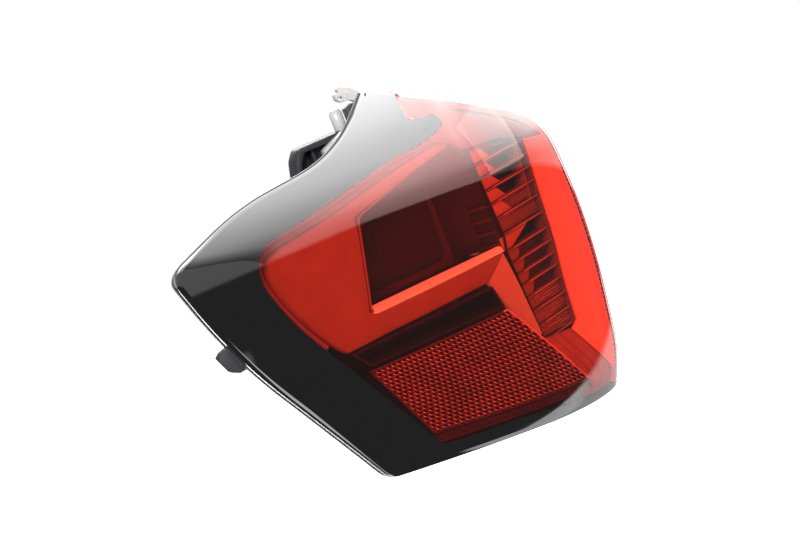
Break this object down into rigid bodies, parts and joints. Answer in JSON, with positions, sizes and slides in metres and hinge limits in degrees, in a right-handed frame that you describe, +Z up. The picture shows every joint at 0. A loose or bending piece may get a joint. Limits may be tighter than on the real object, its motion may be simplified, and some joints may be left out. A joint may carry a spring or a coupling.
{
  "type": "tail light cluster",
  "caption": "Rear lamp cluster for a car's body corner: red lens with black border, lamp optics behind it, closed housing with studs.",
  "frame": {"origin": "centre of the main stud where it leaves its mounting pad", "axes": "X towards the car's outside, Y forwards into the body, Z up; the lens looks along -Y"},
  "size_m": [0.2908, 0.134, 0.2615],
  "materials": {
    "red_lens": "clear red PMMA, polished",
    "black_border": "piano black, polished",
    "smoke_foot": "smoke grey, satin edge",
    "sealant": "dull",
    "black_housing": "fine moulded texture",
    "bezel_satin": "satin silver paint",
    "dark_inner": "matt dark",
    "smoke_cover": "dark smoke, polished",
    "bright_plate": "vapour coated mirror",
    "light_guide": "frosted light guide",
    "board_green": "solder mask",
    "reflex_red": "clear red with cut prisms",
    "bulb_glass": "clear glass",
    "carrier_grey": "moulded, satin",
    "contact_brass": "tinned spring strip",
    "connector_black": "moulded, satin",
    "seal_foam": "closed cell foam",
    "fixing_steel": "zinc plated",
    "guide_white": "natural acetal, satin"
  },
  "bodies": {
    "root": {"outer_lens": "red_lens", "lens_border": "black_border", "lens_foot": "smoke_foot", "lens_bead": "sealant", "housing": "black_housing", "housing_back": "black_housing", "inner_bezel": "bezel_satin", "bezel_liner": "bezel_satin", "upper_shield": "bezel_satin", "window_frame": "bezel_satin", "bulb_chamber": "dark_inner", "smoked_cover": "smoke_cover", "slotted_screen": "dark_inner", "slat_reflector": "bright_plate", "turn_chamber": "bright_plate", "light_strip": "light_guide", "led_board": "board_green", "reflex_reflector": "reflex_red", "recess_tray": "dark_inner", "lower_optic": "reflex_red", "corner_shield": "bright_plate", "tail_reflector": "bright_plate", "tail_bulb": "bulb_glass", "stop_bulb": "bulb_glass", "bulb_carrier": "carrier_grey", "contact_strips": "contact_brass", "connector_shroud": "connector_black", "connector_pins": "contact_brass", "carrier_seal": "seal_foam", "carrier_screws": "fixing_steel", "body_seal": "seal_foam", "main_stud": "fixing_steel", "lower_stud": "fixing_steel", "upper_stud": "fixing_steel", "vent_cap": "connector_black", "guide_bracket": "guide_white", "guide_peg": "guide_white", "top_tongue": "guide_white", "bezel_screws": "fixing_steel"}
  },
  "joints": []
}
